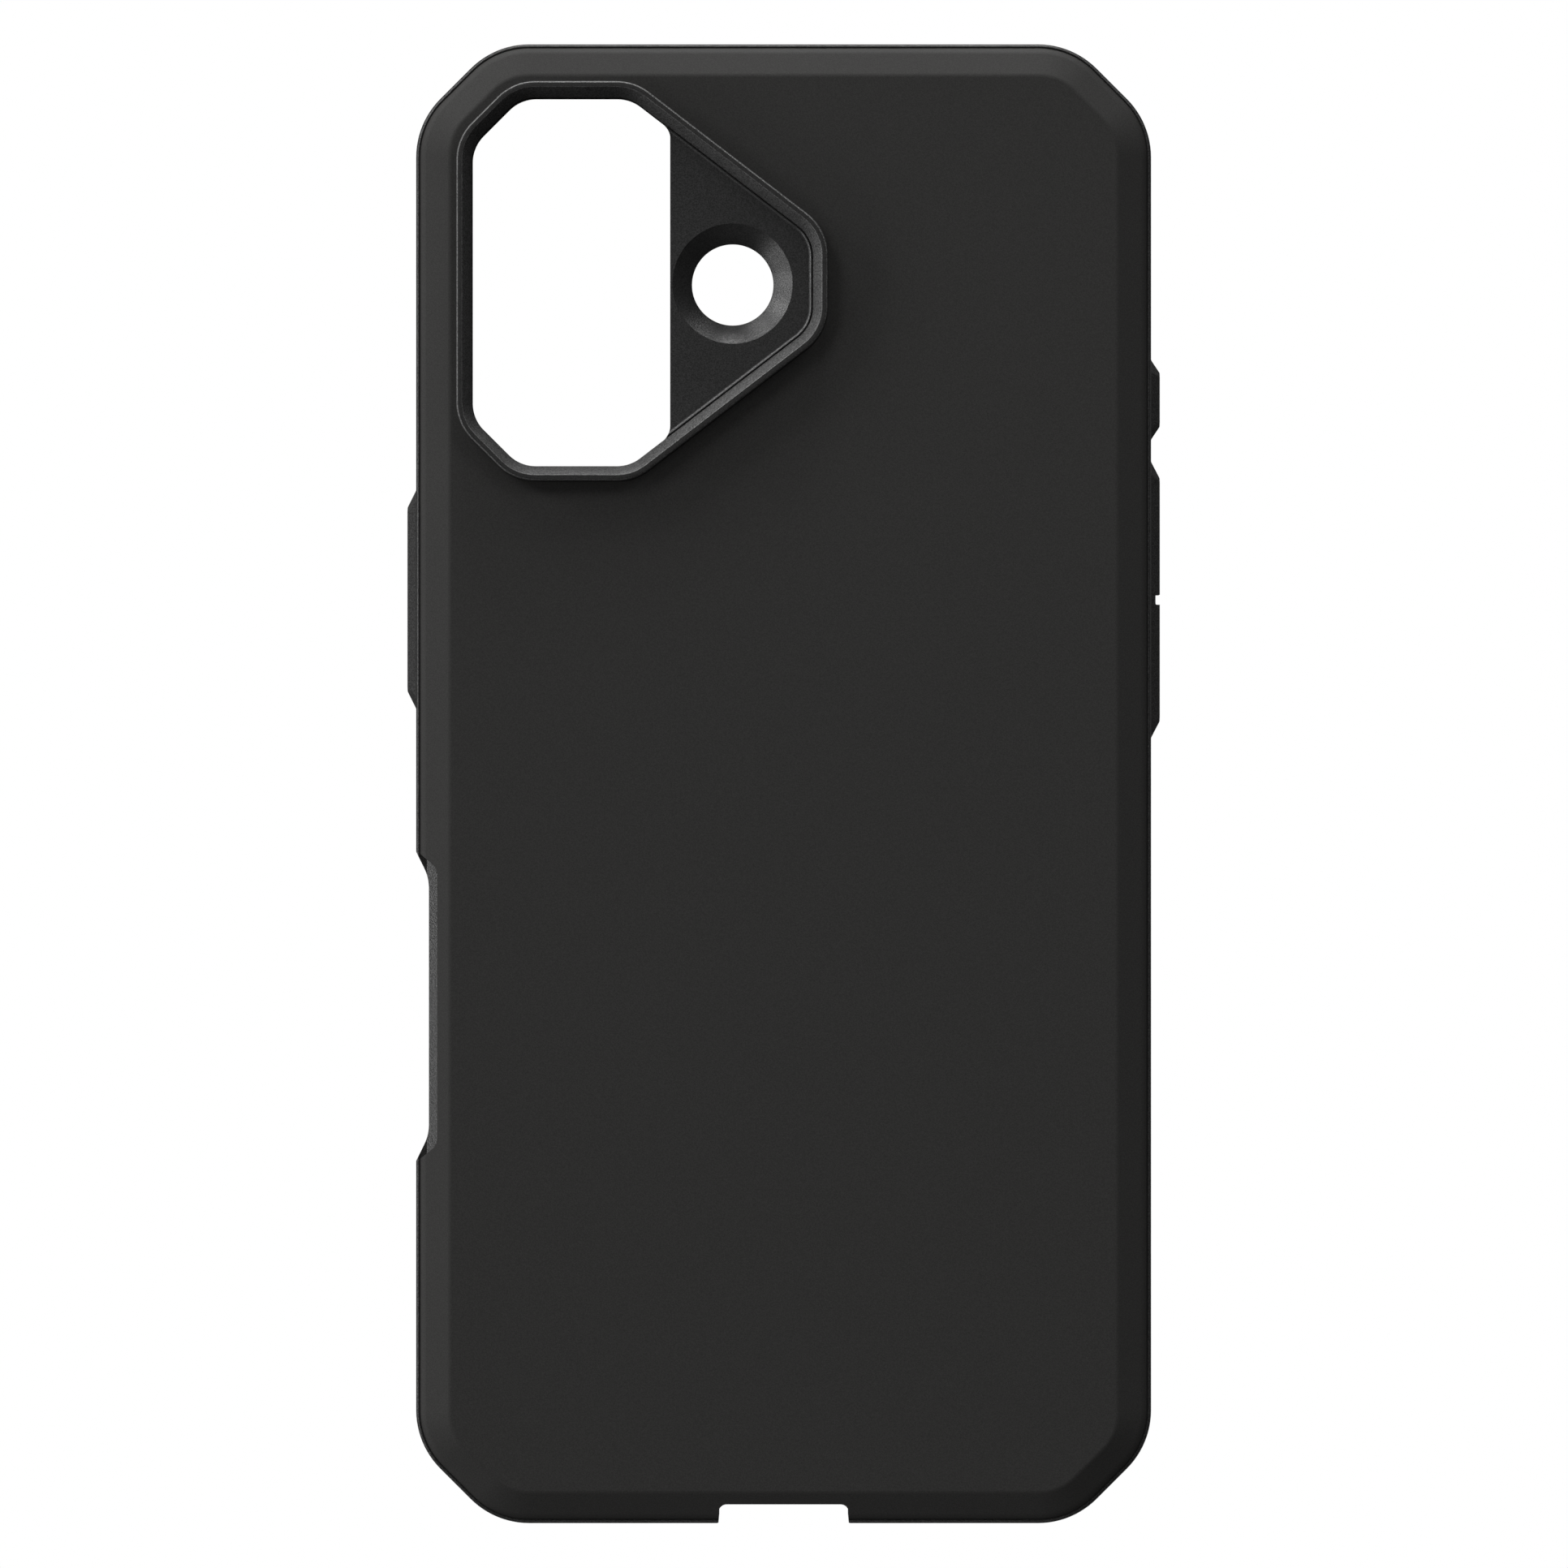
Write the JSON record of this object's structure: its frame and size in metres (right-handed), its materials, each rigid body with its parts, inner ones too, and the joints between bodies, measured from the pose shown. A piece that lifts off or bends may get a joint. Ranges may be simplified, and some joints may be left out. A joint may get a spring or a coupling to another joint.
{
  "type": "phone case",
  "caption": "Rugged phone case: soft bumper frame, bevelled hard back, raised camera guard with flash plate, side keys, charging notch and camera-control scoop.",
  "frame": {"origin": "centre of the case on the plane of its front lip, which is the plane that it rests on when it lies face down", "axes": "+Y towards the top of the phone, +Z out of the back of the case, +X to the right seen from the back"},
  "size_m": [0.0772, 0.151, 0.0139],
  "materials": {
    "frame": "fine moulded grain, matte",
    "shell": "smooth soft-touch matte",
    "guard": "spark-eroded grain, satin",
    "plate": "fine spark-eroded grain, matte",
    "lining": "short-pile microfibre",
    "keys": "fine moulded grain, matte"
  },
  "bodies": {
    "case": {"bumper_frame": "frame", "back_shell": "shell", "camera_guard": "guard", "flash_plate": "plate", "back_lining": "lining"},
    "action_key": {"action_button": "keys"},
    "volume_key": {"volume_rocker": "keys"},
    "power_key": {"power_button": "keys"}
  },
  "joints": [
    {"name": "action_press", "type": "slide", "parent": "case", "child": "action_key", "axis": [-1, 0, 0], "range_m": [0, 0.00035], "stiffness_N_per_m": 1500},
    {"name": "volume_rock", "type": "hinge", "parent": "case", "child": "volume_key", "pos_m": [0.03675, 0.01887, 0.00515], "axis": [0, 0, 1], "range_deg": [-1.1, 1.1], "stiffness_Nm_per_rad": 0.25},
    {"name": "power_press", "type": "slide", "parent": "case", "child": "power_key", "axis": [1, 0, 0], "range_m": [0, 0.00035], "stiffness_N_per_m": 1500}
  ]
}
